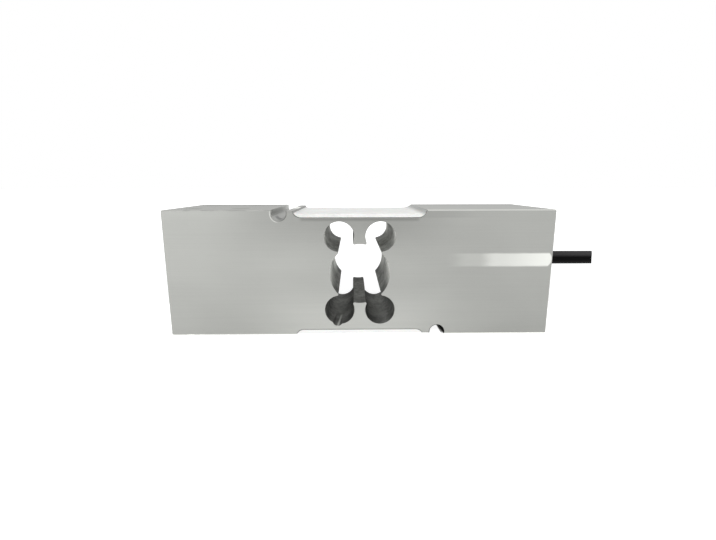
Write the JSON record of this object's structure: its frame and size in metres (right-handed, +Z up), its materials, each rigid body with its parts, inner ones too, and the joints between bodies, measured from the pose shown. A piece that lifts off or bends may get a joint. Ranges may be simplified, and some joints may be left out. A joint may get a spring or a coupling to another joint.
{
  "type": "single point load cell",
  "caption": "Rectangular aluminium bending beam with a cluster of bores through its middle, white potted gauge recesses, threaded mounting holes and a short black cable.",
  "frame": {"origin": "middle of the beam's bottom, halfway along and across it", "axes": "+X along the beam towards the cable, +Y across it towards the back, +Z up from the fixed end's mounting face to the load end's"},
  "size_m": [0.1805, 0.0466, 0.0495],
  "materials": {
    "beam_aluminium": "fine matt milled aluminium with slightly polished edges",
    "white_silicone": "smooth white silicone, slightly uneven",
    "black_rubber": "matt black rubber",
    "black_sealant": "cast black compound, slightly glossy",
    "black_jacket": "matt black cable jacket",
    "tinned_braid": "braided tinned wire",
    "white_filler": "soft white filler",
    "red_insulation": "smooth red insulation",
    "black_insulation": "smooth black insulation",
    "green_insulation": "smooth green insulation",
    "white_insulation": "smooth white insulation",
    "copper": "bare copper",
    "wire_enamel": "amber wire enamel",
    "board_laminate": "green coated glass-fibre laminate",
    "solder": "tin solder",
    "gauge_film": "amber polyimide film",
    "gauge_metal": "etched resistance foil",
    "nickel_ribbon": "flat plated ribbon",
    "resistor_ceramic": "glazed chip resistor"
  },
  "bodies": {
    "root": {"bottom_potting": "white_silicone", "cable_bush": "black_rubber", "cable_filler": "white_filler", "cable_jacket": "black_jacket", "cable_shield": "tinned_braid", "conductor_black": "black_insulation", "conductor_green": "green_insulation", "conductor_red": "red_insulation", "conductor_white": "white_insulation", "core_black": "copper", "core_green": "copper", "core_red": "copper", "core_white": "copper", "entry_sealant": "black_sealant", "gauge_backing_bottom_left": "gauge_film", "gauge_backing_bottom_right": "gauge_film", "gauge_backing_top_left": "gauge_film", "gauge_backing_top_right": "gauge_film", "gauge_foil_bottom_left": "gauge_metal", "gauge_foil_bottom_right": "gauge_metal", "gauge_foil_top_left": "gauge_metal", "gauge_foil_top_right": "gauge_metal", "gauge_leads_bottom_left": "nickel_ribbon", "gauge_leads_bottom_right": "nickel_ribbon", "gauge_leads_top_left": "nickel_ribbon", "gauge_leads_top_right": "nickel_ribbon", "gauge_pads_bottom": "copper", "gauge_pads_top": "copper", "link_wire_1": "wire_enamel", "link_wire_2": "wire_enamel", "link_wire_3": "wire_enamel", "load_cell_body": "beam_aluminium", "solder_joints_bottom": "solder", "solder_joints_top": "solder", "span_resistor": "resistor_ceramic", "terminal_board_bottom": "board_laminate", "terminal_board_top": "board_laminate", "top_potting": "white_silicone", "zero_resistor": "resistor_ceramic"}
  },
  "joints": []
}
